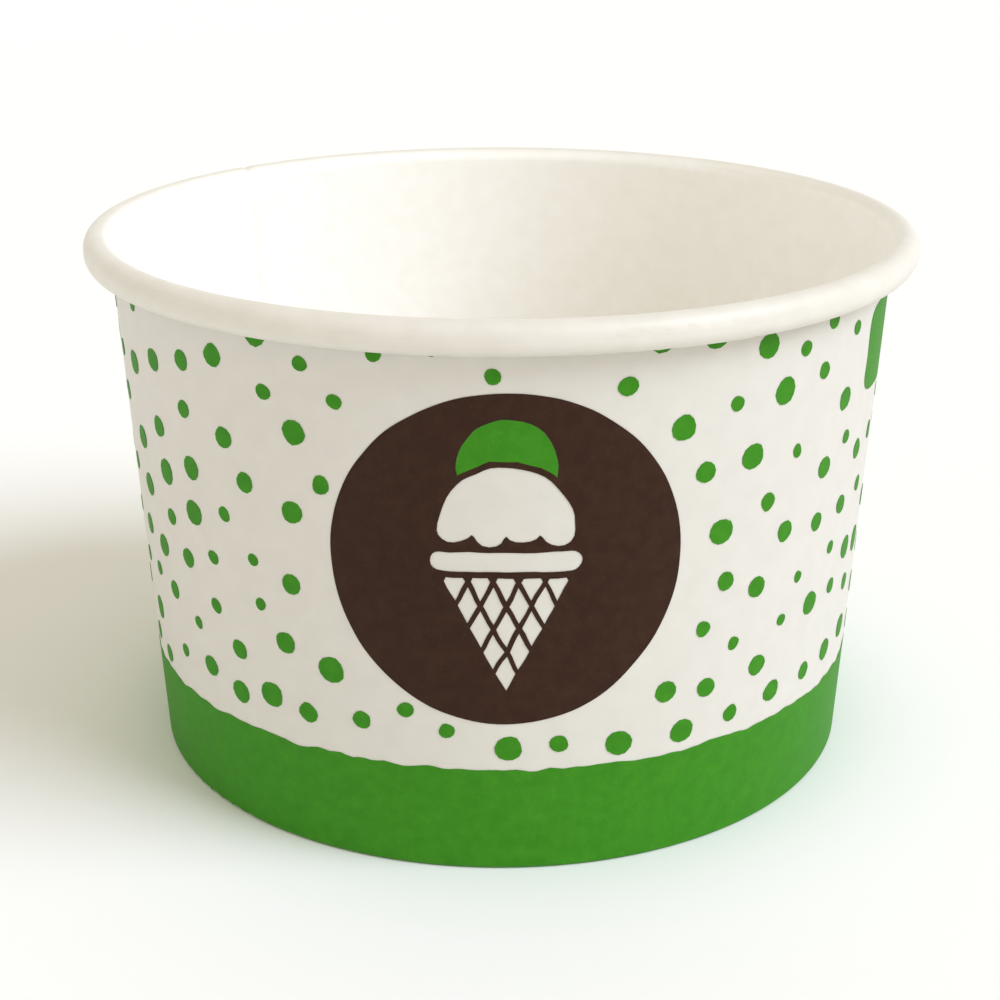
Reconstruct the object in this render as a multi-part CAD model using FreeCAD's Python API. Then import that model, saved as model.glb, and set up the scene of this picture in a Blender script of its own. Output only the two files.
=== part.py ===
import FreeCAD, Part

import math
import os

from FreeCAD import Vector

# Paper ice cream cup, in millimetres. The origin is the middle of the foot, on the table, and +Z is up.
# The middle of the printed front faces -Y.
#
# The cup is two pieces of coated board. The side wall is a fan-shaped blank wrapped into a cone, with its
# straight edges overlapped, its top edge rolled outwards and its bottom edge turned in and up as a hem.
# The bottom is a round blank with its skirt turned down, held between the wall and the hem.
#
# Both are drawn the way board is formed: a line in the section plane, made of straight runs and bends,
# that the board follows, and the board itself between two offsets from that line.

# Driving dimensions
RIM_DIAMETER = 96.0
CUP_HEIGHT = 62.0
FOOT_DIAMETER = 84.0
WALL_BOARD = 0.30
BOTTOM_BOARD = 0.26

# The rolled rim: its width, the straight flank down its outside, and the tighter tuck that ends it
ROLL_WIDTH = 3.2
ROLL_FLANK = 0.4
TUCK_RADIUS = 0.70
TUCK_TURN = 160.0

# The foot: how high the bottom sits, how far the hem comes up, and where the bottom's skirt ends
RECESS_DEPTH = 8.0
HEM_HEIGHT = 6.8
SKIRT_END_HEIGHT = 1.2
FOOT_BEND_RADIUS = 0.20
BOTTOM_BEND_RADIUS = 0.90

# The side seam: its overlap, the width over which the outer layer climbs onto the inner one, and where
# the inner layer's cut edge stands, counted anticlockwise from +X. The outer layer stops at a slit over
# the foot, below which a single layer is turned in.
SEAM_OVERLAP = 7.0
SEAM_CLIMB = 1.6
SEAM_AZIMUTH = 138.0
SLIT_HEIGHT = 1.4
SLIT_WIDTH = 0.3


def heading_vector(degrees):
    angle = math.radians(degrees)
    return Vector(math.cos(angle), 0, math.sin(angle))


def left_of(degrees):
    return heading_vector(degrees + 90)


class BoardLine:
    # The line that a sheet of board follows in the XZ plane. A positive turn bends it to the left.

    def __init__(self, start, heading):
        self.start = start
        self.heading = heading
        self.steps = []

    def run(self, length):
        self.steps.append((length, None, 0))
        return self

    def bend(self, radius, turn):
        self.steps.append((0, radius, turn))
        return self

    def edges(self, offset):
        # The line's edges, moved to its left by the offset.
        point = self.start
        heading = self.heading
        made = []
        for length, radius, turn in self.steps:
            first = point + left_of(heading) * offset
            if radius is None:
                point = point + heading_vector(heading) * length
                last = point + left_of(heading) * offset
                made.append(Part.LineSegment(first, last).toShape())
                continue
            side = math.copysign(1, turn)
            centre = point + left_of(heading) * (side * radius)
            middle = centre - left_of(heading + turn / 2) * (side * radius - offset)
            heading += turn
            point = centre - left_of(heading) * (side * radius)
            last = point + left_of(heading) * offset
            made.append(Part.Arc(first, middle, last).toShape())
        return made

    def outline(self, right, left):
        # The closed outline of the board that lies between two offsets from the line.
        right_side = self.edges(right)
        left_side = self.edges(left)
        start_cap = Part.makeLine(left_side[0].Vertexes[0].Point, right_side[0].Vertexes[0].Point)
        end_cap = Part.makeLine(right_side[-1].Vertexes[-1].Point, left_side[-1].Vertexes[-1].Point)
        return Part.Wire(right_side + [end_cap] + left_side[::-1] + [start_cap])


def turned(shape, degrees):
    copy = shape.copy()
    copy.rotate(Vector(), Vector(0, 0, 1), degrees)
    return copy


def revolved(outline, start, sweep):
    face = turned(Part.Face(outline), start)
    return face.revolve(Vector(), Vector(0, 0, 1), sweep)


# The wall's printed face is straight in section. It leaves the foot's outer edge and ends tangent to the
# roll, so its lean follows from the rim, the foot and the height.
rim_radius = RIM_DIAMETER / 2
foot_edge = Vector(FOOT_DIAMETER / 2, 0, 0)
half_wall = WALL_BOARD / 2
half_bottom = BOTTOM_BOARD / 2
roll_radius = ROLL_WIDTH / 2 - half_wall
roll_centre = Vector(rim_radius - ROLL_WIDTH / 2, 0, CUP_HEIGHT - ROLL_WIDTH / 2)
foot_to_roll = roll_centre - foot_edge
face_to_roll = roll_radius - half_wall
face_length = math.sqrt(foot_to_roll.Length**2 - face_to_roll**2)
bearing = math.degrees(math.atan2(foot_to_roll.x, foot_to_roll.z))
lean = bearing - math.degrees(math.asin(face_to_roll / foot_to_roll.Length))
up_wall = 90 - lean
along_wall = heading_vector(up_wall)
into_cup = left_of(up_wall)


def behind_face(depth, height):
    # The point at a depth behind the printed face, measured square to it, and at a height.
    start = foot_edge + into_cup * depth
    return start + along_wall * ((height - start.z) / along_wall.z)


def add_wall_and_roll(line, start):
    # The rest of the wall from a point of the line, then the roll: over the top, down the flank, round
    # underneath, and tucked up inside itself.
    line.run(face_length - (start - foot_edge).dot(along_wall))
    line.bend(roll_radius, -up_wall - 90).run(ROLL_FLANK)
    line.bend(roll_radius, -90).bend(TUCK_RADIUS, -TUCK_TURN)
    return line


def foot_line(top_height=None):
    # From the hem's cut edge down, round the foot and up the wall, to a height or to the end of the roll.
    bend_height = half_wall + FOOT_BEND_RADIUS
    wall_bend = behind_face(half_wall + FOOT_BEND_RADIUS, bend_height)
    foot_flat = (WALL_BOARD + BOTTOM_BOARD - 2 * FOOT_BEND_RADIUS) / along_wall.z
    hem_bottom = wall_bend - Vector(foot_flat, 0, 0) + into_cup * FOOT_BEND_RADIUS
    hem_length = (HEM_HEIGHT - hem_bottom.z) / along_wall.z
    wall_start = wall_bend - into_cup * FOOT_BEND_RADIUS
    line = BoardLine(hem_bottom + along_wall * hem_length, up_wall - 180)
    line.run(hem_length).bend(FOOT_BEND_RADIUS, 180 - up_wall).run(foot_flat)
    line.bend(FOOT_BEND_RADIUS, up_wall)
    if top_height is None:
        return add_wall_and_roll(line, wall_start)
    return line.run((top_height - wall_start.z) / along_wall.z)


def upper_line():
    # From the slit over the foot up the wall and round the roll.
    start = behind_face(half_wall, SLIT_HEIGHT + SLIT_WIDTH)
    return add_wall_and_roll(BoardLine(start, up_wall), start)


def side_wall():
    # The first layer goes round from its cut edge to where the blank's other end starts to climb. The
    # climb and the outer layer continue it, one board further out, as far as the overlap goes.
    face_radius = behind_face(0, CUP_HEIGHT / 2).x
    climb = math.degrees(SEAM_CLIMB / face_radius)
    overlap = math.degrees(SEAM_OVERLAP / face_radius)
    inner_layer = upper_line().outline(-half_wall, half_wall)
    outer_layer = upper_line().outline(-half_wall - WALL_BOARD, half_wall - WALL_BOARD)
    first_layer = revolved(foot_line().outline(-half_wall, half_wall), 0, 360 - climb)
    turned_in_foot = revolved(foot_line(SLIT_HEIGHT).outline(-half_wall, half_wall), -climb, climb)
    climbing = Part.makeLoft([turned(inner_layer, -climb), outer_layer], True, True)
    overlapping = revolved(outer_layer, 0, overlap)
    wall = first_layer.fuse([turned_in_foot, climbing, overlapping])
    return turned(wall, SEAM_AZIMUTH)


def bottom_disc():
    # A flat round panel with its skirt turned down against the wall.
    panel_height = RECESS_DEPTH + half_bottom
    bend = behind_face(WALL_BOARD + half_bottom + BOTTOM_BEND_RADIUS, panel_height - BOTTOM_BEND_RADIUS)
    skirt_top = bend - into_cup * BOTTOM_BEND_RADIUS
    line = BoardLine(Vector(0, 0, panel_height), 0)
    line.run(bend.x).bend(BOTTOM_BEND_RADIUS, up_wall - 180)
    line.run((skirt_top.z - SKIRT_END_HEIGHT) / along_wall.z)
    return revolved(line.outline(-half_bottom, half_bottom), 0, 360)


def export(name, shape):
    solids = shape.Solids
    print(f"{name}: {len(solids)} solid, valid {shape.isValid()}, {shape.Volume:.1f} mm3, {shape.BoundBox}")
    solids[0].exportStep(f"parts/{name}.step")


os.makedirs("parts", exist_ok=True)
print(f"the wall leans {lean:.2f} degrees")
export("side_wall", side_wall())
export("bottom_disc", bottom_disc())
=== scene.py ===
import math

import bmesh
import bpy
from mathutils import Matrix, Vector, noise
from mathutils.geometry import delaunay_2d_cdt


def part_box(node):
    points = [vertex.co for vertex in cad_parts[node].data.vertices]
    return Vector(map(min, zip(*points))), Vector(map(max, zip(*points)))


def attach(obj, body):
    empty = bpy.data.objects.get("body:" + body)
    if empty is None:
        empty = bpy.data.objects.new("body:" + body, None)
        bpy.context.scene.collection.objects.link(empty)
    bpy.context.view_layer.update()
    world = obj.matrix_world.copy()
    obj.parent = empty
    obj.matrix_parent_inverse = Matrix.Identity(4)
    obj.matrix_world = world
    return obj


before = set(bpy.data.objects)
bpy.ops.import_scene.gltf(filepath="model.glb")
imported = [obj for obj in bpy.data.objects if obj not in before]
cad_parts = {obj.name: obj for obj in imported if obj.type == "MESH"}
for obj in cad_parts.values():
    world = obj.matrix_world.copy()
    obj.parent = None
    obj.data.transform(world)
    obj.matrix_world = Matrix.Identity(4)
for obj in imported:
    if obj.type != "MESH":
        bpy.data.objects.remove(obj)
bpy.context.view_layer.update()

mm = 0.001
print("frame loaded:", ", ".join(sorted(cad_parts)))

# The cup's own sizes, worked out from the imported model's box. The wall leans out from the foot and ends
# tangent to the roll.
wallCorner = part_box("side_wall")[1]
cup = {
    "rimRadius": wallCorner.x,
    "height": wallCorner.z,
    "footToRim": 0.875,
    "rollWidth": 3.2 * mm,
    "board": 0.30 * mm,
    "recess": 8.0 * mm,
}
cup["footRadius"] = cup["rimRadius"] * cup["footToRim"]
rollReach = cup["rimRadius"] - cup["rollWidth"] / 2 - cup["footRadius"]
rollRise = cup["height"] - cup["rollWidth"] / 2
rollInner = cup["rollWidth"] / 2 - cup["board"]
cup["lean"] = math.atan2(rollReach, rollRise) - math.asin(rollInner / math.hypot(rollReach, rollRise))
cup["apexDistance"] = cup["footRadius"] / math.sin(cup["lean"])  # along the blank, from its centre

# Where the side seam lies, counted to the right from the middle of the front. The outer layer ends at
# cutEdge, and its other end climbs onto the inner one between climbStart and climbEnd.
seam = {"climbEnd": math.radians(228.0), "climb": 1.6 * mm, "overlap": 7.0 * mm}
faceRadius = cup["footRadius"] + math.tan(cup["lean"]) * cup["height"] / 2
seam["climbStart"] = seam["climbEnd"] - seam["climb"] / faceRadius
seam["cutEdge"] = seam["climbEnd"] + seam["overlap"] / faceRadius


def linear(hexColour):  # sRGB hex to the linear values that Blender's sockets take
    channels = [int(hexColour[i:i + 2], 16) / 255 for i in (1, 3, 5)]
    return (*[c / 12.92 if c <= 0.04045 else ((c + 0.055) / 1.055) ** 2.4 for c in channels], 1.0)


def addNode(tree, kind, inputs=None, **settings):  # a node with its settings, its values and its links
    node = tree.nodes.new(kind)
    for name, value in settings.items():
        setattr(node, name, value)
    for key, value in (inputs or {}).items():
        if isinstance(value, bpy.types.NodeSocket):
            tree.links.new(value, node.inputs[key])
        else:
            node.inputs[key].default_value = value
    return node


# Board and ink
surface = {"ior": 1.5, "bumpDepth": 0.05 * mm}
boardFinish = {
    # the printed side is painted greyer than the coated side: partly the board's two sides, partly painted
    # shade on the outer wall and painted light inside the cup
    "printedSide": ("#d6d2c9", "#dad6cd"),  # where the fibres lie thin, and thick
    "coatedSide": ("#f8f5ee", "#fbf9f4"),
    # painted shade: the roll's outside is painted darker and warmer than the coated side, for the shade on
    # the roll
    "rollPaintedShade": ("#ddd8cd", "#e2ddd3"),
    "cutEdge": "#dccfb8",
    "formation": 2.6 * mm,  # the size of its clouds
    "cloudRange": (0.3, 0.7),
    "fibre": 0.45 * mm,
    "fibreRoughness": 0.6,
    "printedRoughness": 0.50,
    "coatedRoughness": 0.36,
    "roughnessSpread": 0.10,
    "shine": 0.35,
    "bump": 0.04,
    "printedBelowRim": 2.0 * mm,
    "hemInside": 0.5 * mm,  # how far in from the foot's edge the hem begins
    "undersideAbove": 0.1 * mm,
    "rollShadeBlend": (-0.2 * mm, 0.8 * mm),  # how far out from the wall the roll's painted shade starts and is full
    "printedFoldHeight": 4.0 * mm,
    "printedHemHeight": 3.4 * mm,
    "printedHemWave": 0.5 * mm,
    "uprightCosine": 0.8,
}
inkFinish = {
    "green": "#358012",
    "greenThin": "#428e1d",
    "brown": "#321c11",
    "brownThin": "#3d2718",
    "mottle": 1.4 * mm,
    "mottleRange": (0.35, 0.75),
    "mottleMost": 0.7,
    "speck": 0.35 * mm,
    "speckRange": (0.62, 0.8),
    "speckMost": 0.6,
    "roughness": (0.48, 0.62),
    "shine": 0.15,
    "bump": 0.04,
}


def newMaterial(name):
    material = bpy.data.materials.new(name)
    material.use_nodes = True
    material.node_tree.nodes.clear()
    return material, material.node_tree


def finishSurface(tree, colour, roughness, pattern, finish):
    bump = addNode(tree, "ShaderNodeBump", {"Height": pattern, "Strength": finish["bump"],
                                            "Distance": surface["bumpDepth"]})
    shader = addNode(tree, "ShaderNodeBsdfPrincipled", {
        "Base Color": colour, "Roughness": roughness, "IOR": surface["ior"],
        "Specular IOR Level": finish["shine"], "Normal": bump.outputs["Normal"]})
    addNode(tree, "ShaderNodeOutputMaterial", {"Surface": shader.outputs["BSDF"]})


def paperNoise(tree, coordinates, size, detail=2.0, roughness=0.5):  # noise whose grain is a real size
    return addNode(tree, "ShaderNodeTexNoise", {"Vector": coordinates, "Scale": 1 / size, "Detail": detail,
                                                "Roughness": roughness}).outputs["Fac"]


def blend(tree, factor, first, second):  # one colour turning into another
    return addNode(tree, "ShaderNodeMix", {"Factor": factor, "A": first, "B": second},
                   data_type="RGBA").outputs["Result"]


def inkColours(tree, coordinates, solid, thin):
    # Ink laid by a rubber plate: it is a little uneven, and tiny specks of it are thin over the fibres.
    mottle = paperNoise(tree, coordinates, inkFinish["mottle"], detail=3.0)
    speck = paperNoise(tree, coordinates, inkFinish["speck"], detail=1.0)
    parts = []
    for pattern, name in ((mottle, "mottle"), (speck, "speck")):
        low, high = inkFinish[name + "Range"]
        parts.append(addNode(tree, "ShaderNodeMapRange", {
            "Value": pattern, "From Min": low, "From Max": high,
            "To Max": inkFinish[name + "Most"]}).outputs[0])
    thinness = addNode(tree, "ShaderNodeMath", {0: parts[0], 1: parts[1]}, operation="ADD", use_clamp=True)
    return blend(tree, thinness.outputs[0], linear(solid), linear(thin)), mottle


def coatedInk(name, solid, thin):
    # Water-based ink under a thin clear varnish: flat, deep colour with a low satin shine.
    material, tree = newMaterial(name)
    place = addNode(tree, "ShaderNodeTexCoord").outputs["Object"]
    colour, mottle = inkColours(tree, place, solid, thin)
    low, high = inkFinish["roughness"]
    roughness = addNode(tree, "ShaderNodeMapRange", {"Value": mottle, "To Min": low, "To Max": high})
    finishSurface(tree, colour, roughness.outputs[0], mottle, inkFinish)
    return material


print("materials")
greenInk = coatedInk("greenFlexoInk", inkFinish["green"], inkFinish["greenThin"])
brownInk = coatedInk("brownFlexoInk", inkFinish["brown"], inkFinish["brownThin"])


def wallMasks(tree, split):
    # What a point of the side wall belongs to: the printed side, the hem, the roll (blended, for its painted
    # shade), and the outer layer's cut edge.
    height = split.outputs["Z"]
    outward = addNode(tree, "ShaderNodeCombineXYZ", {"X": split.outputs["X"], "Y": split.outputs["Y"]})
    radius = addNode(tree, "ShaderNodeVectorMath", {0: outward.outputs[0]},
                     operation="LENGTH").outputs["Value"]
    facing = addNode(tree, "ShaderNodeNewGeometry").outputs["True Normal"]
    # How far out a point is, measured down along the lean to the foot
    reach = addNode(tree, "ShaderNodeMath", {0: height, 1: -math.tan(cup["lean"]), 2: radius},
                    operation="MULTIPLY_ADD").outputs[0]
    onFace = addNode(tree, "ShaderNodeMath", {0: reach, 1: cup["footRadius"] + 0.5 * cup["board"],
                                              2: cup["board"]}, operation="COMPARE")
    printTop = cup["height"] - boardFinish["printedBelowRim"]
    underRoll = addNode(tree, "ShaderNodeMath", {0: height, 1: printTop}, operation="LESS_THAN")
    lowFace = addNode(tree, "ShaderNodeMath", {0: onFace.outputs[0], 1: underRoll.outputs[0]},
                      operation="MULTIPLY")
    turnedOut = addNode(tree, "ShaderNodeVectorMath", {0: facing, 1: outward.outputs[0]},
                        operation="DOT_PRODUCT")
    outer = addNode(tree, "ShaderNodeMath", {0: turnedOut.outputs["Value"], 1: 0.0}, operation="GREATER_THAN")
    outside = addNode(tree, "ShaderNodeMath", {0: lowFace.outputs[0], 1: outer.outputs[0]},
                      operation="MULTIPLY")
    hem = addNode(tree, "ShaderNodeMath", {0: reach, 1: cup["footRadius"] - boardFinish["hemInside"]},
                  operation="LESS_THAN").outputs[0]
    printedSide = addNode(tree, "ShaderNodeMath", {0: outside.outputs[0], 1: hem},
                          operation="MAXIMUM").outputs[0]
    low, high = boardFinish["rollShadeBlend"]
    paintedRollShade = addNode(tree, "ShaderNodeMapRange", {"Value": reach, "From Min": cup["footRadius"] + low,
                                                  "From Max": cup["footRadius"] + high}).outputs[0]
    # The cut edge stands upright and faces along the wall, square to the way out from the middle.
    away = addNode(tree, "ShaderNodeVectorMath", {0: outward.outputs[0]}, operation="NORMALIZE")
    along = addNode(tree, "ShaderNodeVectorMath", {0: away.outputs[0], 1: (0, 0, 1)},
                    operation="CROSS_PRODUCT")
    square = addNode(tree, "ShaderNodeVectorMath", {0: facing, 1: along.outputs[0]}, operation="DOT_PRODUCT")
    size = addNode(tree, "ShaderNodeMath", {0: square.outputs["Value"]}, operation="ABSOLUTE")
    upright = addNode(tree, "ShaderNodeMath", {0: size.outputs[0], 1: boardFinish["uprightCosine"]},
                      operation="GREATER_THAN")
    lapping = addNode(tree, "ShaderNodeMath", {0: reach, 1: cup["footRadius"]}, operation="GREATER_THAN")
    cut = addNode(tree, "ShaderNodeMath", {0: upright.outputs[0], 1: lapping.outputs[0]},
                  operation="MULTIPLY").outputs[0]
    return printedSide, hem, paintedRollShade, cut


def inkRoundFoot(tree, colour, place, height, cloud, hem):
    # The band's ink goes on round the fold of the foot and a little way up the turned-in hem. On the
    # outside, the film of the band hides where this paint ends.
    wave = boardFinish["printedHemWave"]
    ink, _ = inkColours(tree, place, inkFinish["green"], inkFinish["greenThin"])
    ragged = addNode(tree, "ShaderNodeMapRange", {"Value": cloud, "To Min": -wave, "To Max": wave})
    hemEdge = addNode(tree, "ShaderNodeMath", {0: ragged.outputs[0], 1: boardFinish["printedHemHeight"]},
                      operation="ADD")
    edge = addNode(tree, "ShaderNodeMix", {"Factor": hem, "A": boardFinish["printedFoldHeight"],
                                           "B": hemEdge.outputs[0]}).outputs["Result"]
    printed = addNode(tree, "ShaderNodeMath", {0: height, 1: edge}, operation="LESS_THAN")
    return blend(tree, printed.outputs[0], colour, ink)


def coatedBoard(name, wall):
    # Bleached paperboard, faintly cloudy where its fibres lie thicker. The side that takes the print is bare
    # and warm white. The side that holds the ice cream has an extruded coat, which makes it smoother and more
    # even. The printed side is painted greyer than the coated side: partly the board's two sides, partly
    # painted shade on the outer wall and painted light inside the cup. The roll turns outwards, so its
    # outside is the coated side too, painted darker and warmer as painted shade on the roll. Cut edges show
    # darker pulp.
    material, tree = newMaterial(name)
    place = addNode(tree, "ShaderNodeTexCoord").outputs["Object"]
    cloud = paperNoise(tree, place, boardFinish["formation"], detail=3.0)
    fibre = paperNoise(tree, place, boardFinish["fibre"], roughness=boardFinish["fibreRoughness"])
    low, high = boardFinish["cloudRange"]
    cloudy = addNode(tree, "ShaderNodeMapRange", {"Value": cloud, "From Min": low,
                                                  "From Max": high}).outputs[0]
    split = addNode(tree, "ShaderNodeSeparateXYZ", {"Vector": place})
    height = split.outputs["Z"]

    def white(side):
        return blend(tree, cloudy, *[linear(shade) for shade in boardFinish[side]])

    coated = white("coatedSide")
    if wall:
        printedSide, hem, paintedRollShade, cut = wallMasks(tree, split)
        # painted shade: the roll gets a darker, warmer white than the coated side
        coated = blend(tree, paintedRollShade, coated, white("rollPaintedShade"))
    else:
        printedSide = addNode(tree, "ShaderNodeMath", {
            0: height, 1: cup["recess"] + boardFinish["undersideAbove"]}, operation="LESS_THAN").outputs[0]
    # the printed side's greyer white is partly the board's own and partly painted shade; the coated side's
    # white partly painted light
    colour = blend(tree, printedSide, coated, white("printedSide"))
    if wall:
        colour = inkRoundFoot(tree, colour, place, height, cloud, hem)
        colour = blend(tree, cut, colour, linear(boardFinish["cutEdge"]))
    smoothest = addNode(tree, "ShaderNodeMix", {"Factor": printedSide, "A": boardFinish["coatedRoughness"],
                                                "B": boardFinish["printedRoughness"]}).outputs["Result"]
    roughness = addNode(tree, "ShaderNodeMath", {0: fibre, 1: boardFinish["roughnessSpread"], 2: smoothest},
                        operation="MULTIPLY_ADD")
    finishSurface(tree, colour, roughness.outputs[0], fibre, boardFinish)
    return material


wallBoard = coatedBoard("bleachedPaperboardWall", wall=True)
bottomBoard = coatedBoard("bleachedPaperboardBottom", wall=False)
for node, material in (("side_wall", wallBoard), ("bottom_disc", bottomBoard)):
    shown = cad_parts[node]
    shown.data.materials.clear()
    shown.data.materials.append(material)


# Wrapping the flat print round the wall
def newTree(name, inputs):
    tree = bpy.data.node_groups.new(name, "GeometryNodeTree")
    tree.interface.new_socket("Geometry", in_out="INPUT", socket_type="NodeSocketGeometry")
    for label, kind, value in inputs:
        socket = tree.interface.new_socket(label, in_out="INPUT", socket_type="NodeSocket" + kind)
        if value is not None:
            socket.default_value = value
    tree.interface.new_socket("Geometry", in_out="OUTPUT", socket_type="NodeSocketGeometry")
    return tree, addNode(tree, "NodeGroupInput").outputs


def wallWrap():
    # A point of the flat blank is (sideways, up, thickness) from the blank's centre. Its distance from there
    # goes up the wall, and its angle, spread over the whole turn, goes round it.
    tree, given = newTree("wallWrap", [
        ("Lean", "Float", cup["lean"]), ("Apex Distance", "Float", cup["apexDistance"]),
        ("Board", "Float", cup["board"]), ("Climb Start", "Float", seam["climbStart"]),
        ("Climb End", "Float", seam["climbEnd"]), ("Cut Edge", "Float", seam["cutEdge"])])
    place = addNode(tree, "GeometryNodeInputPosition").outputs[0]
    split = addNode(tree, "ShaderNodeSeparateXYZ", {0: place})
    reach = addNode(tree, "ShaderNodeVectorMath", {0: place}, operation="LENGTH").outputs["Value"]
    fan = addNode(tree, "ShaderNodeMath", {0: split.outputs["X"], 1: split.outputs["Y"]}, operation="ARCTAN2")
    narrow = addNode(tree, "ShaderNodeMath", {0: given["Lean"]}, operation="SINE")
    turn = addNode(tree, "ShaderNodeMath", {0: fan.outputs[0], 1: narrow.outputs[0]}, operation="DIVIDE")
    held = addNode(tree, "ShaderNodeMath", {0: turn.outputs[0], 1: given["Cut Edge"]}, operation="MINIMUM")
    lift = addNode(tree, "ShaderNodeMapRange", {"Value": held.outputs[0], "From Min": given["Climb Start"],
                                                "From Max": given["Climb End"], "To Max": given["Board"]})
    out = addNode(tree, "ShaderNodeMath", {0: split.outputs["Z"], 1: lift.outputs[0]}, operation="ADD")
    back = addNode(tree, "ShaderNodeMath", {0: out.outputs[0], 1: -1.0}, operation="MULTIPLY")
    upright = addNode(tree, "ShaderNodeCombineXYZ", {"Y": back.outputs[0], "Z": reach})
    leant = addNode(tree, "ShaderNodeVectorRotate", {"Vector": upright.outputs[0], "Angle": given["Lean"]},
                    rotation_type="X_AXIS")
    swung = addNode(tree, "ShaderNodeVectorRotate", {"Vector": leant.outputs[0], "Angle": held.outputs[0]},
                    rotation_type="Z_AXIS")
    tall = addNode(tree, "ShaderNodeMath", {0: given["Lean"]}, operation="COSINE")
    drop = addNode(tree, "ShaderNodeMath", {0: given["Apex Distance"], 1: tall.outputs[0]},
                   operation="MULTIPLY")
    down = addNode(tree, "ShaderNodeCombineXYZ", {"Z": drop.outputs[0]})
    wrapped = addNode(tree, "ShaderNodeVectorMath", {0: swung.outputs[0], 1: down.outputs[0]},
                      operation="SUBTRACT")
    moved = addNode(tree, "GeometryNodeSetPosition", {"Geometry": given["Geometry"],
                                                      "Position": wrapped.outputs[0]})
    addNode(tree, "NodeGroupOutput", {"Geometry": moved.outputs[0]})
    return tree


wrapTree = wallWrap()


def inkTree():  # wraps a flat shape that is already drawn
    tree, given = newTree("inkOnWall", [("Ink", "Material", None)])
    wrap = addNode(tree, "GeometryNodeGroup", node_tree=wrapTree)
    tree.links.new(given["Geometry"], wrap.inputs["Geometry"])
    plain = addNode(tree, "GeometryNodeRealizeInstances", {"Geometry": wrap.outputs[0]})
    inked = addNode(tree, "GeometryNodeSetMaterial", {"Geometry": plain.outputs[0], "Material": given["Ink"]})
    addNode(tree, "NodeGroupOutput", {"Geometry": inked.outputs[0]})
    return tree


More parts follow.
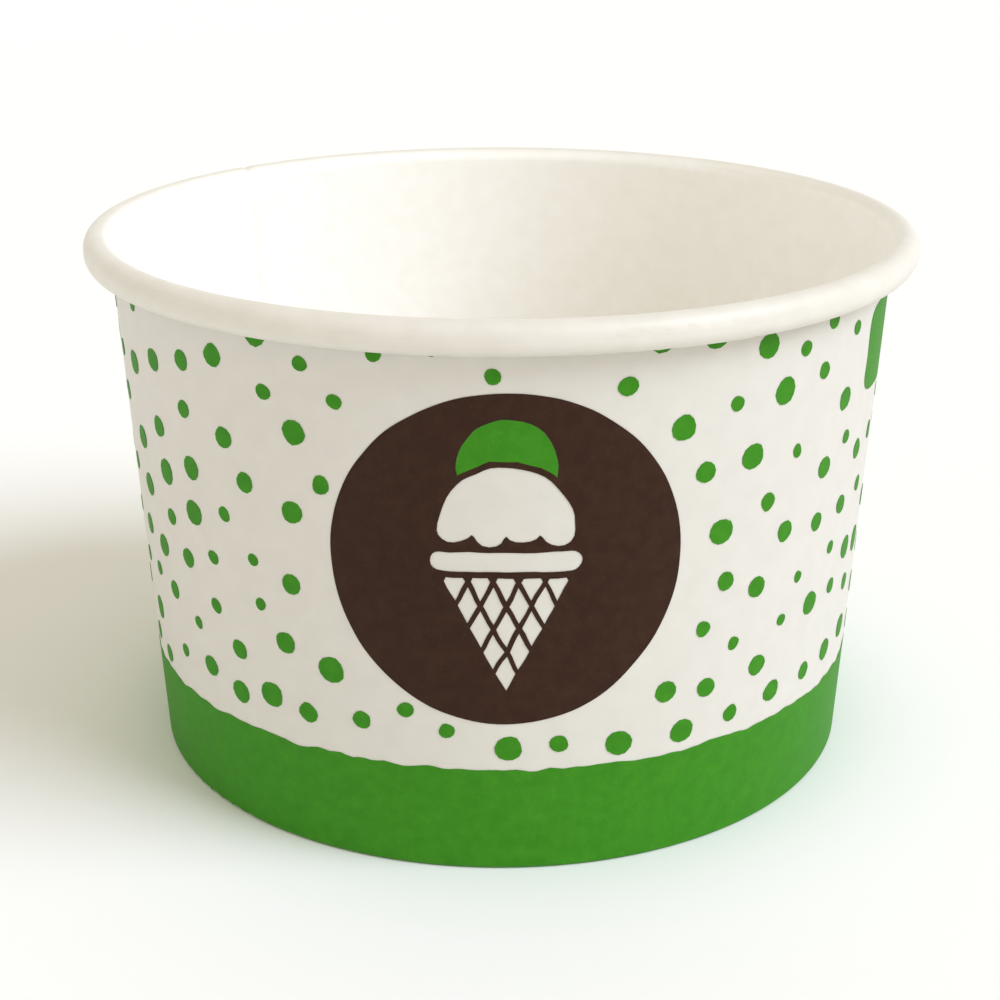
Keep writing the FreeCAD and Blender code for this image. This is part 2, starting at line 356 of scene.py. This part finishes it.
def dotTree():  # scatters hand-cut dots over a flat field and wraps them
    tree, given = newTree("dotScatter", [
        ("Keep Clear", "Object", None), ("Margin", "Float", None), ("Spacing", "Float", None),
        ("Density", "Float", None), ("Smallest", "Float", None), ("Largest", "Float", None),
        ("Corners", "Int", None), ("Rings", "Int", None), ("Film", "Float", None), ("Wobble", "Float", None),
        ("Wobble Size", "Float", None), ("Seed", "Int", None), ("Ink", "Material", None)])
    spread = addNode(tree, "GeometryNodeDistributePointsOnFaces",
                     {"Mesh": given["Geometry"], "Distance Min": given["Spacing"],
                      "Density Max": given["Density"], "Seed": given["Seed"]}, distribute_method="POISSON")
    chance = addNode(tree, "FunctionNodeRandomValue", {"Seed": given["Seed"]}, data_type="FLOAT")
    radius = addNode(tree, "ShaderNodeMapRange", {"Value": chance.outputs["Value"],
                                                  "To Min": given["Smallest"], "To Max": given["Largest"]})
    # Dots stay whole and clear of the larger fields of ink.
    kept = addNode(tree, "GeometryNodeObjectInfo", {"Object": given["Keep Clear"]})
    near = addNode(tree, "GeometryNodeProximity", {"Geometry": kept.outputs["Geometry"]},
                   target_element="FACES")
    room = addNode(tree, "ShaderNodeMath", {0: near.outputs["Distance"], 1: radius.outputs[0]},
                   operation="SUBTRACT")
    crowded = addNode(tree, "ShaderNodeMath", {0: room.outputs[0], 1: given["Margin"]}, operation="LESS_THAN")
    free = addNode(tree, "GeometryNodeDeleteGeometry", {"Geometry": spread.outputs["Points"],
                                                        "Selection": crowded.outputs[0]}, domain="POINT")
    # Rings of points inside a dot let it follow the board where it climbs at the seam.
    coin = addNode(tree, "GeometryNodeMeshCylinder", {
        "Vertices": given["Corners"], "Fill Segments": given["Rings"], "Radius": 1.0,
        "Depth": given["Film"]}, fill_type="TRIANGLE_FAN")
    half = addNode(tree, "ShaderNodeMath", {0: given["Film"], 1: 0.5}, operation="MULTIPLY")
    lift = addNode(tree, "ShaderNodeCombineXYZ", {"Z": half.outputs[0]})
    seated = addNode(tree, "GeometryNodeTransform", {"Geometry": coin.outputs["Mesh"],
                                                     "Translation": lift.outputs[0]})
    size = addNode(tree, "ShaderNodeCombineXYZ", {"X": radius.outputs[0], "Y": radius.outputs[0], "Z": 1.0})
    turn = addNode(tree, "FunctionNodeRandomValue", {"Max": math.tau, "Seed": given["Seed"]},
                   data_type="FLOAT")
    turned = addNode(tree, "ShaderNodeCombineXYZ", {"Z": turn.outputs["Value"]})
    coins = addNode(tree, "GeometryNodeInstanceOnPoints", {
        "Points": free.outputs[0], "Instance": seated.outputs[0], "Rotation": turned.outputs[0],
        "Scale": size.outputs[0]})
    plain = addNode(tree, "GeometryNodeRealizeInstances", {"Geometry": coins.outputs[0]})
    place = addNode(tree, "GeometryNodeInputPosition").outputs[0]
    grain = addNode(tree, "ShaderNodeMath", {0: 1.0, 1: given["Wobble Size"]}, operation="DIVIDE")
    across = addNode(tree, "ShaderNodeVectorMath", {0: place, 1: (1, 1, 0)}, operation="MULTIPLY")
    shake = addNode(tree, "ShaderNodeTexNoise", {"Vector": across.outputs[0], "Scale": grain.outputs[0],
                                                 "Detail": 1.0})
    centred = addNode(tree, "ShaderNodeVectorMath", {0: shake.outputs["Color"], 1: (0.5, 0.5, 0.5)},
                      operation="SUBTRACT")
    flat = addNode(tree, "ShaderNodeVectorMath", {0: centred.outputs[0], 1: (1, 1, 0)}, operation="MULTIPLY")
    wobble = addNode(tree, "ShaderNodeVectorMath", {0: flat.outputs[0], "Scale": given["Wobble"]},
                     operation="SCALE")
    cut = addNode(tree, "GeometryNodeSetPosition", {"Geometry": plain.outputs[0],
                                                    "Offset": wobble.outputs[0]})
    wrap = addNode(tree, "GeometryNodeGroup", node_tree=wrapTree)
    tree.links.new(cut.outputs[0], wrap.inputs["Geometry"])
    inked = addNode(tree, "GeometryNodeSetMaterial", {"Geometry": wrap.outputs[0], "Material": given["Ink"]})
    addNode(tree, "NodeGroupOutput", {"Geometry": inked.outputs[0]})
    return tree


film = {
    "thickness": 0.05 * mm,
    "weld": 1e-4 * mm,  # points nearer than this are joined
    "cell": 1.6,  # in mm, as is the next: small enough for the flat faces to follow the round wall
    "longestEdge": 1.0,
    "nearest": 1e-4,  # in mm: corners nearer than this are taken as one
}


def throughTree(flat, name, tree, values):
    # Runs a flat mesh through a tree and keeps the result as a plain mesh that rides on the cup.
    source = bpy.data.objects.new(name + "Flat", flat)
    bpy.context.scene.collection.objects.link(source)
    modifier = source.modifiers.new(name, "NODES")
    modifier.node_group = tree
    sockets = {s.name: s.identifier for s in tree.interface.items_tree if s.in_out == "INPUT"}
    for label, value in values.items():
        modifier[sockets[label]] = value
    bpy.context.view_layer.update()
    evaluated = source.evaluated_get(bpy.context.evaluated_depsgraph_get())
    mesh = bpy.data.meshes.new_from_object(evaluated)
    mesh.name = name
    source.modifiers.remove(modifier)
    bpy.data.objects.remove(source)
    tidy = bmesh.new()
    tidy.from_mesh(mesh)
    bmesh.ops.dissolve_degenerate(tidy, edges=tidy.edges[:], dist=film["weld"])
    tidy.to_mesh(mesh)
    tidy.free()
    piece = bpy.data.objects.new(name, mesh)
    bpy.context.scene.collection.objects.link(piece)
    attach(piece, "root")
    return piece


# Drawing on the flat blank
def onBlank(angle, height):  # the place on the blank of an angle round the cup and a distance up the wall
    fan = angle * math.sin(cup["lean"])
    reach = cup["apexDistance"] + height
    return Vector((reach * math.sin(fan), reach * math.cos(fan), 0))


def insideOutlines(x, y, outlines):  # an outline inside another is a hole
    inside = False
    for outline in outlines:
        for (x1, y1), (x2, y2) in zip(outline, outline[1:] + outline[:1]):
            if (y1 > y) != (y2 > y) and x < x1 + (y - y1) * (x2 - x1) / (y2 - y1):
                inside = not inside
    return inside


def solidFilm(bm, name):  # raises flat faces by the thickness of the ink, closed all round
    raised = bmesh.ops.extrude_face_region(bm, geom=bm.faces[:], use_keep_orig=True)["geom"]
    upper = [part for part in raised if isinstance(part, bmesh.types.BMVert)]
    bmesh.ops.translate(bm, verts=upper, vec=(0, 0, film["thickness"]))
    bmesh.ops.recalc_face_normals(bm, faces=bm.faces[:])
    mesh = bpy.data.meshes.new(name)
    bm.to_mesh(mesh)
    bm.free()
    return mesh


def filledOutlines(name, outlines, angle, height):
    # Outlines are in mm round a place on the blank. Points inside them keep the faces small.
    points = [p for outline in outlines for p in outline]
    edges = []
    for outline in outlines:
        first = len(edges)
        edges += [(first + i, first + (i + 1) % len(outline)) for i in range(len(outline))]
    cell = film["cell"]
    left, right = min(p[0] for p in points), max(p[0] for p in points)
    bottom, top = min(p[1] for p in points), max(p[1] for p in points)
    for row in range(int((top - bottom) / cell) + 1):
        for column in range(int((right - left) / cell) + 1):
            x = left + (column + 0.5 * (row % 2)) * cell
            y = bottom + (row + 0.5) * cell
            if insideOutlines(x, y, outlines):
                points.append((x, y))
    corners, _, faces, *_ = delaunay_2d_cdt([Vector(p) for p in points], edges, [], 0, film["nearest"])
    centre, fan = onBlank(angle, height), angle * math.sin(cup["lean"])
    across, up = Vector((math.cos(fan), -math.sin(fan), 0)), Vector((math.sin(fan), math.cos(fan), 0))
    bm = bmesh.new()
    made = [bm.verts.new(centre + across * (c.x * mm) + up * (c.y * mm)) for c in corners]
    for face in faces:
        x = sum(corners[i].x for i in face) / len(face)
        y = sum(corners[i].y for i in face) / len(face)
        if insideOutlines(x, y, outlines):
            bm.faces.new([made[i] for i in face])
    bmesh.ops.delete(bm, geom=[v for v in bm.verts if not v.link_faces], context="VERTS")
    return solidFilm(bm, name)


def stepped(outline):  # adds points to long edges, which would cut through the round wall
    points = []
    for (x1, y1), (x2, y2) in zip(outline, outline[1:] + outline[:1]):
        count = math.ceil(math.hypot(x2 - x1, y2 - y1) / film["longestEdge"])
        points += [(x1 + (x2 - x1) * i / count, y1 + (y2 - y1) * i / count) for i in range(count)]
    return points


def handCut(outline, shape):  # moves the points as a knife held by hand would
    # Two plain noises, because noise_vector gives other values from run to run.
    wobble, size = shape["wobble"], shape["wobbleSize"]
    moved = []
    for x, y in stepped(outline):
        across, up = [noise.noise(Vector((x / size, y / size, seed))) for seed in shape["seeds"]]
        moved.append((x + wobble * across, y + wobble * up))
    return moved


def arc(x, y, radius, start, end, steps):  # angles in degrees
    turns = [math.radians(start + (end - start) * i / steps) for i in range(steps + 1)]
    return [(x + radius * math.cos(a), y + radius * math.sin(a)) for a in turns]


def circle(x, y, radius, steps):
    return arc(x, y, radius, 0, 360 - 360 / steps, steps - 1)


# The brown roundel on the middle of the front, with a wafer cone left unprinted in it
roundel = {
    "angle": math.radians(0.65),
    "height": 36.1 * mm,
    "radius": 18.25,
    "steps": 132,
    "wobble": 0.10,
    "wobbleSize": 4.0,
    "seeds": (1.0, 11.5),
}
wafer = {  # all in mm, from the middle of the roundel
    "tip": (0.0, -14.9),
    "halfWidth": 6.7,
    "top": -1.5,
    "pitch": 2.9,
    "line": 0.6,
    "collarHalf": 7.7,
    "collarRadius": 1.1,
    "collarSteps": 8,
    "scoop": (0.0, 3.7, 6.9),
    "scoopSteps": 28,
    "drips": 4,
    "dripDepths": (0.34, 0.5),  # as shares of a drip's width
    "dripSteps": 8,
    "upperScoop": (0.1, 10.6, 5.0),
    "upperSteps": 45,
    "greenShare": 0.995,  # a hair smaller than its opening, so that no two walls coincide
    "gap": 0.7,
    "wobble": 0.22,
    "wobbleSize": 2.2,
    "seeds": (7.0, 17.5),
}


def waferCells():
    # The lattice of a wafer cone: squares between lines that run along its two sides, cut off at the top.
    tipX, tipY = wafer["tip"]
    rise = wafer["top"] - tipY
    side = math.hypot(wafer["halfWidth"], rise)
    right = (wafer["halfWidth"] / side, rise / side)
    cells = []
    count = int(side / wafer["pitch"]) + 1
    for i in range(count):
        for j in range(count - i):
            low, high = wafer["line"] / 2, wafer["pitch"] - wafer["line"] / 2
            a, b = i * wafer["pitch"], j * wafer["pitch"]
            corners = [(a + low, b + low), (a + high, b + low), (a + high, b + high), (a + low, b + high)]
            kept = []
            for (a1, b1), (a2, b2) in zip(corners, corners[1:] + corners[:1]):
                over = a1 + b1 - side
                overNext = a2 + b2 - side
                if over <= 0:
                    kept.append((a1, b1))
                if over * overNext < 0:
                    share = over / (over - overNext)
                    kept.append((a1 + share * (a2 - a1), b1 + share * (b2 - b1)))
            if len(kept) > 2 and min(a1 + b1 for a1, b1 in kept) < side - wafer["line"]:
                cells.append([(tipX + (a1 - b1) * right[0], tipY + (a1 + b1) * right[1]) for a1, b1 in kept])
    return cells


def lowerScoopOutline():  # a ball of ice cream whose lower edge runs down in a few soft drips
    x, y, radius = wafer["scoop"]
    outline = arc(x, y, radius, 0, 180, wafer["scoopSteps"])
    width = 2 * radius / wafer["drips"]
    for i in range(wafer["drips"]):
        middle = x - radius + (i + 0.5) * width
        deep = width * wafer["dripDepths"][i % 2]
        for step in range(1, wafer["dripSteps"]):
            turn = math.pi * step / wafer["dripSteps"]
            outline.append((middle - width / 2 * math.cos(turn), y - deep * math.sin(turn)))
    return outline


def upperScoopOutline():  # the upper ball stands on the lower one, with a line of brown between them
    x, y, radius = wafer["upperScoop"]
    lowX, lowY, lowRadius = wafer["scoop"]
    rest = lowRadius + wafer["gap"]
    outline = []
    for px, py in circle(x, y, radius, wafer["upperSteps"]):
        away = math.hypot(px - lowX, py - lowY)
        if away < rest:
            px, py = lowX + (px - lowX) * rest / away, lowY + (py - lowY) * rest / away
        outline.append((px, py))
    return outline


def collarOutline():  # the rounded bar on top of the cone
    radius, steps = wafer["collarRadius"], wafer["collarSteps"]
    side = wafer["collarHalf"] - radius
    middle = wafer["top"] + wafer["gap"] + radius
    return arc(side, middle, radius, -90, 90, steps) + arc(-side, middle, radius, 90, 270, steps)


def greenScoopOutline(opening):  # the upper ball's own ink, drawn in towards its middle
    x, y, _ = wafer["upperScoop"]
    share = wafer["greenShare"]
    return [(x + share * (px - x), y + share * (py - y)) for px, py in opening]


openings = (*waferCells(), collarOutline(), lowerScoopOutline(), upperScoopOutline())
unprinted = [handCut(outline, wafer) for outline in openings]
edge = handCut(circle(0, 0, roundel["radius"], roundel["steps"]), roundel)
greenScoop = greenScoopOutline(unprinted[-1])
roundelFlat = filledOutlines("printedRoundel", [edge, *unprinted], roundel["angle"], roundel["height"])
scoopFlat = filledOutlines("printedScoop", [greenScoop], roundel["angle"], roundel["height"])

# The plain green field under the rim on the right side
field = {
    "angle": math.radians(77.5),
    "height": 51.5 * mm,
    "halfWidth": 11.0,
    "halfHeight": 5.4,
    "squareness": 6.5,
    "steps": 72,
    "wobble": 0.5,
    "wobbleSize": 5.0,
    "seeds": (5.0, 15.5),
}


def squarishOutline():  # between an oval and a rectangle
    power = 2 / field["squareness"]
    outline = []
    for i in range(field["steps"]):
        turn = math.tau * i / field["steps"]
        x, y = math.cos(turn), math.sin(turn)
        outline.append((field["halfWidth"] * math.copysign(abs(x) ** power, x),
                        field["halfHeight"] * math.copysign(abs(y) ** power, y)))
    return outline


fieldOutline = handCut(squarishOutline(), field)
fieldFlat = filledOutlines("printedField", [fieldOutline], field["angle"], field["height"])

# The green band round the foot, with a top edge cut by hand. On the climb and the outer layer its film stops
# above the slit over the foot. The wall's own finish is green round the foot, below the film and a little
# way up under it.
band = {
    "height": 12.3 * mm,
    "bottom": 0.40 * mm,
    "overSlit": 1.70 * mm,
    "from": math.radians(-124.0),
    "to": seam["cutEdge"] + math.radians(0.1),
    "step": 0.7 * mm,
    "rows": 7,
    "ragged": ((6.5, 0.42), (1.9, 0.42)),  # length and height of its waves in mm, coarse and fine
    "waveApart": 7.3,
    "seed": 2.0,
}


def bandFlat():
    columns = int((band["to"] - band["from"]) * cup["footRadius"] / band["step"])
    bm = bmesh.new()
    grid = []
    for i in range(columns + 1):
        angle = band["from"] + (band["to"] - band["from"]) * i / columns
        along = angle * cup["footRadius"] / mm
        top = band["height"]
        for number, (size, reach) in enumerate(band["ragged"]):
            top += reach * mm * noise.noise(Vector((along / size, band["waveApart"] * number, band["seed"])))
        low = band["bottom"] if angle < seam["climbStart"] else band["overSlit"]
        grid.append([bm.verts.new(onBlank(angle, low + (top - low) * j / band["rows"]))
                     for j in range(band["rows"] + 1)])
    for left, right in zip(grid, grid[1:]):
        for j in range(band["rows"]):
            bm.faces.new([left[j], right[j], right[j + 1], left[j + 1]])
    return solidFilm(bm, "printedBand")


# The scattered dots. The flat field they fall on is a fan from the band to under the rim, which ends at the
# seam's cut edge. A dot that reaches past that edge is cut off by it.
dots = {
    "spacing": 4.8 * mm,
    "density": 300000.0,
    "smallest": 0.70 * mm,
    "largest": 1.56 * mm,
    "corners": 12,
    "rings": 2,
    "wobble": 0.52 * mm,
    "wobbleSize": 1.8 * mm,
    "margin": 0.9 * mm,
    "low": 14.2 * mm,
    "high": 59.3 * mm,
    "step": math.radians(4),
    "seed": 11,
}


def dotField():  # the flat fan in strips
    start, end = band["from"], seam["cutEdge"]
    columns = int((end - start) / dots["step"])
    mesh = bpy.data.meshes.new("dotField")
    points, faces = [], []
    for i in range(columns + 1):
        angle = start + (end - start) * i / columns
        points += [onBlank(angle, dots["low"]), onBlank(angle, dots["high"])]
        if i:
            faces.append((2 * i - 2, 2 * i, 2 * i + 1, 2 * i - 1))
    mesh.from_pydata(points, [], faces)
    return mesh


def keepClearOf(*shapes):  # one flat object that holds the larger fields of ink
    bm = bmesh.new()
    for shape in shapes:
        bm.from_mesh(shape)
    mesh = bpy.data.meshes.new("keepClear")
    bm.to_mesh(mesh)
    bm.free()
    kept = bpy.data.objects.new("keepClear", mesh)
    bpy.context.scene.collection.objects.link(kept)
    return kept


print("dots, roundel and band")
wholeRoundel = filledOutlines("wholeRoundel", [edge], roundel["angle"], roundel["height"])
keepClear = keepClearOf(wholeRoundel, fieldFlat)
printedDots = throughTree(dotField(), "printedDots", dotTree(), {
    "Keep Clear": keepClear, "Margin": dots["margin"], "Spacing": dots["spacing"],
    "Density": dots["density"], "Smallest": dots["smallest"], "Largest": dots["largest"],
    "Corners": dots["corners"], "Rings": dots["rings"], "Film": film["thickness"], "Wobble": dots["wobble"],
    "Wobble Size": dots["wobbleSize"], "Seed": dots["seed"], "Ink": greenInk})
bpy.data.objects.remove(keepClear)
print(len(printedDots.data.polygons), "faces in the dots")
inkOnWall = inkTree()
for name, flat, ink, slot in (("printedRoundel", roundelFlat, brownInk, "brown_ink"),
                              ("printedScoop", scoopFlat, greenInk, "green_ink"),
                              ("printedField", fieldFlat, greenInk, "green_ink"),
                              ("printedBand", bandFlat(), greenInk, "green_ink")):
    throughTree(flat, name, inkOnWall, {"Ink": ink})

# The room: a pale floor that curves up all round like a studio cove, so that no horizon shows, a bright
# sky of warm white cloth, and one soft key light on the right
room = {
    "floor": "#f4f4f2",
    "floorRoughness": 0.9,
    "floorShine": 0.1,
    "flatRadius": 1.2,
    "bend": 3.0,
    "rise": math.radians(60),
    "rings": 20,
    "around": 96,
    "sky": 0.70,
    "skyColour": "#fff6e2",
    "keyPlace": (0.43, -0.18, 0.45),
    "keyAim": (0, 0, 0.03),
    "keyAngle": math.radians(35),
    "keyEnergy": 2.50,
    "keyColour": "#e2ecff",
}


def coveMesh():
    rings, around = room["rings"], room["around"]
    points, faces = [], [tuple(range(around))]
    for ring in range(rings + 1):
        turn = room["rise"] * ring / rings
        radius = room["flatRadius"] + room["bend"] * math.sin(turn)
        height = room["bend"] * (1 - math.cos(turn))
        for i in range(around):
            angle = math.tau * i / around
            points.append((radius * math.cos(angle), radius * math.sin(angle), height))
            if ring:
                inner, after = (ring - 1) * around, (i + 1) % around
                faces.append((inner + i, inner + around + i, inner + around + after, inner + after))
    mesh = bpy.data.meshes.new("floor")
    mesh.from_pydata(points, [], faces)
    mesh.shade_smooth()
    return mesh


floorMesh = coveMesh()
floor = bpy.data.objects.new("floor", floorMesh)
bpy.context.scene.collection.objects.link(floor)
floorPaint, floorTree = newMaterial("matteStudioFloor")
paint = addNode(floorTree, "ShaderNodeBsdfPrincipled", {
    "Base Color": linear(room["floor"]), "Roughness": room["floorRoughness"],
    "Specular IOR Level": room["floorShine"]})
addNode(floorTree, "ShaderNodeOutputMaterial", {"Surface": paint.outputs[0]})
floorMesh.materials.append(floorPaint)

sky = bpy.data.worlds.new("softSky")
sky.use_nodes = True
skyNode = sky.node_tree.nodes["Background"]
skyNode.inputs["Color"].default_value = linear(room["skyColour"])
skyNode.inputs["Strength"].default_value = room["sky"]
bpy.context.scene.world = sky

key = bpy.data.lights.new("key", "SUN")
key.energy = room["keyEnergy"]
key.color = linear(room["keyColour"])[:3]
key.angle = room["keyAngle"]
keyHolder = bpy.data.objects.new("key", key)
keyHolder.location = room["keyPlace"]
keyHolder.rotation_euler = (keyHolder.location - Vector(room["keyAim"])).to_track_quat("Z", "Y").to_euler()
bpy.context.scene.collection.objects.link(keyHolder)
bpy.context.scene.view_settings.view_transform = "Standard"

# The camera, fitted to the outlines of the rim, the foot and the wall
view = {
    "distance": 227.0 * mm,
    "pitch": math.radians(20.67),
    "aimHeight": 26.5 * mm,
    "focalLength": 66.0,
    "sensor": 36.0,
    "shift": -0.0013,
    "clip": (0.01, 20),
}
camera = bpy.data.cameras.new("camera")
camera.lens = view["focalLength"]
camera.sensor_width = view["sensor"]
camera.shift_x = view["shift"]
camera.clip_start, camera.clip_end = view["clip"]
cameraHolder = bpy.data.objects.new("camera", camera)
bpy.context.scene.collection.objects.link(cameraHolder)
aimPoint = Vector((0, 0, view["aimHeight"]))
away = Vector((0, -math.cos(view["pitch"]), math.sin(view["pitch"])))
cameraHolder.location = aimPoint + away * view["distance"]
cameraHolder.rotation_euler = (-away).to_track_quat("-Z", "Y").to_euler()
bpy.context.scene.camera = cameraHolder
print("room and camera")
